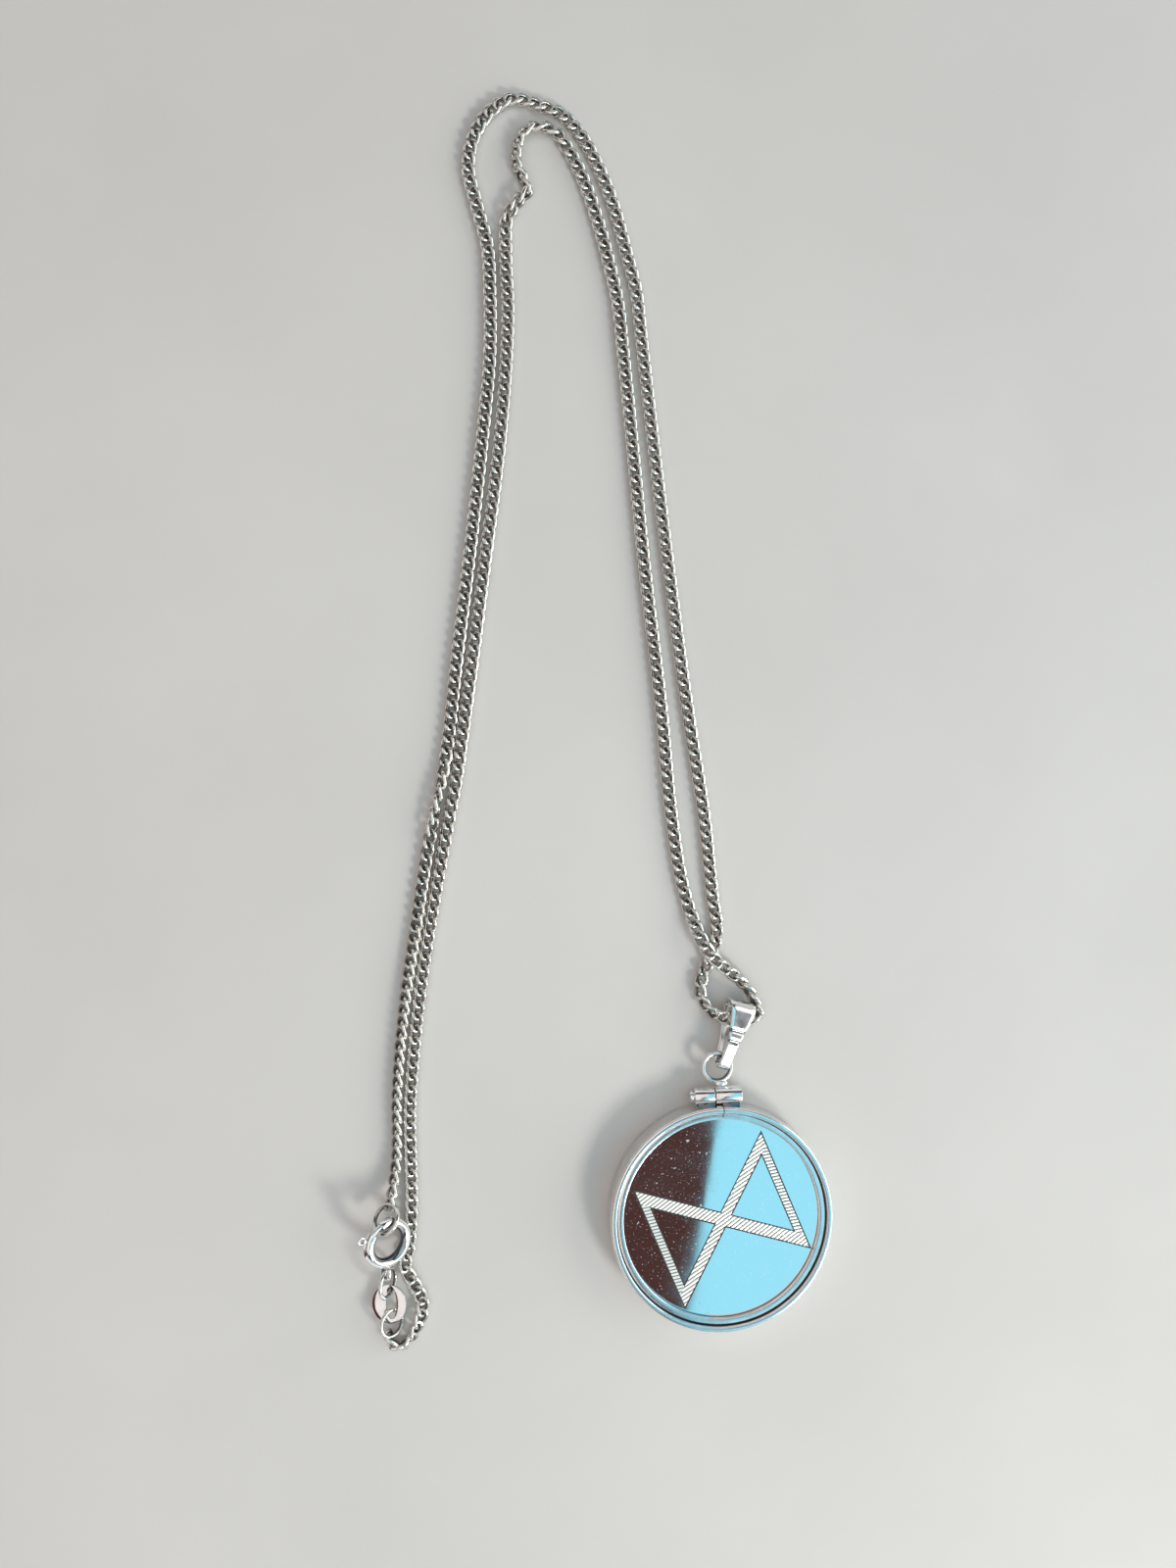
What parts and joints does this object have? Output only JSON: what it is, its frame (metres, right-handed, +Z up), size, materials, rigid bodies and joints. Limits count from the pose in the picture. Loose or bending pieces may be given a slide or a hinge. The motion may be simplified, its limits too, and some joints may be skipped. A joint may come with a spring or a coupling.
{
  "type": "pendant necklace",
  "caption": "Mirror-polished disc with an engraved band figure, held in a screw-top frame on a tapered bail and a curb chain with a spring-ring clasp.",
  "frame": {"origin": "centre of the whole piece's box in X and Y, on the surface that it lies on", "axes": "+Z up off the surface, +Y along the doubled chain away from the pendant, +X to the right with the engraved face up"},
  "size_m": [0.0632, 0.1684, 0.0062],
  "materials": {
    "polished_disc": "mirror polish with fine scratches",
    "silver_frame": "polished",
    "chain_silver": "polished, flattened faces",
    "clasp_silver": "polished"
  },
  "bodies": {
    "necklace": {"medal_disc": "polished_disc", "disc_frame": "silver_frame", "closure_screw": "silver_frame", "bail": "silver_frame", "chain": "chain_silver", "jump_ring": "chain_silver", "clasp_ring": "clasp_silver", "tag_link": "chain_silver", "tag": "clasp_silver", "end_link": "chain_silver"},
    "bolt": {"clasp_bolt": "clasp_silver"}
  },
  "joints": [
    {"name": "clasp_bolt", "type": "hinge", "parent": "necklace", "child": "bolt", "pos_m": [-0.02725, -0.06851, 0.00348], "axis": [0.5693, -0.0993, 0.8161], "range_deg": [0, 36], "stiffness_Nm_per_rad": 0.005}
  ]
}
